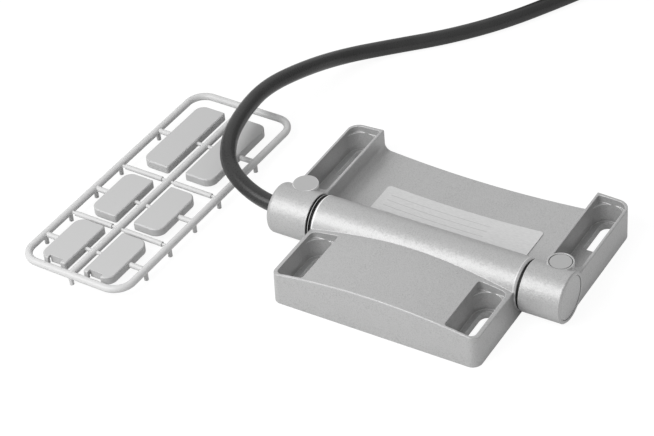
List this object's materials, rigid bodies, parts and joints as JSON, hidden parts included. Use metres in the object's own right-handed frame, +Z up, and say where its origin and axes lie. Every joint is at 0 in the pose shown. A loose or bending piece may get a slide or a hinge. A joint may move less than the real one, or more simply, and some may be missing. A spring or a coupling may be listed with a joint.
{
  "type": "safety hinge switch",
  "caption": "Die-cast guard-door hinge with a safety switch in its barrel, slotted screw pockets, a side cable and its pocket covers on their moulding frame.",
  "frame": {"origin": "on the mounting plane, straight under the hinge axis, at the middle of the front leaf", "axes": "+X along the hinge axis towards the capped end, +Y towards the fixed rear leaf, +Z up from the mounting plane"},
  "size_m": [0.2016, 0.3486, 0.026],
  "materials": {
    "die_cast": "satin",
    "foil": "satin",
    "cap_plastic": "matte",
    "cover_plastic": "matte",
    "ground_steel": "satin",
    "spring_steel": "polished",
    "bush_plastic": "matte",
    "seal_rubber": "matte",
    "switch_plastic": "matte",
    "plunger_plastic": "matte",
    "board_laminate": "matte",
    "copper_wire": "polished",
    "cable_sheath": "satin",
    "core_insulation": "matte",
    "ferrule_metal": "polished"
  },
  "bodies": {
    "frame_side": {"rear_leaf": "die_cast", "type_plate": "foil", "knuckle_end_disc": "die_cast", "left_boss_cap": "cap_plastic", "right_boss_cap": "cap_plastic", "left_lock_pin": "ground_steel", "right_lock_pin": "ground_steel", "left_seal_ring": "seal_rubber", "right_seal_ring": "seal_rubber", "hollow_axle": "ground_steel", "cap_side_axle": "ground_steel", "switch_carrier": "switch_plastic", "carrier_cover": "switch_plastic", "contact_block_1": "switch_plastic", "contact_block_2": "switch_plastic", "plunger_spring_1": "spring_steel", "plunger_spring_2": "spring_steel", "terminal_board": "board_laminate", "lead_cores": "core_insulation", "link_wires": "copper_wire", "cable_gland": "seal_rubber", "cable_inner_end": "cable_sheath", "cable_tube": "cable_sheath", "cable_coil": "cable_sheath", "cable_core_ends": "core_insulation", "core_ferrules": "ferrule_metal", "sprue_frame": "cover_plastic", "long_cover_left": "cover_plastic", "long_cover_right": "cover_plastic", "short_cover_left": "cover_plastic", "short_cover_right": "cover_plastic", "notched_cover_left": "cover_plastic", "notched_cover_right": "cover_plastic"},
    "guard_side": {"front_leaf": "die_cast", "left_bush": "bush_plastic", "right_bush": "bush_plastic", "cam_sleeve": "bush_plastic", "cam_key": "ground_steel"},
    "plunger_1": {"contact_plunger_1": "plunger_plastic"},
    "plunger_2": {"contact_plunger_2": "plunger_plastic"}
  },
  "joints": [
    {"name": "guard_swing", "type": "hinge", "parent": "frame_side", "child": "guard_side", "pos_m": [0, 0, 0.01], "axis": [-1, 0, 0], "range_deg": [0, 180]},
    {"name": "plunger_1_travel", "type": "slide", "parent": "frame_side", "child": "plunger_1", "axis": [0, 0, -1], "range_m": [0, 0.0008], "deforming": ["plunger_spring_1"]},
    {"name": "plunger_2_travel", "type": "slide", "parent": "frame_side", "child": "plunger_2", "axis": [0, 0, -1], "range_m": [0, 0.0008], "deforming": ["plunger_spring_2"]}
  ],
  "couplings": [
    {"joint": "plunger_1_travel", "follows": "guard_swing", "m_per_rad": 0.000254},
    {"joint": "plunger_2_travel", "follows": "guard_swing", "m_per_rad": 0.000254}
  ]
}
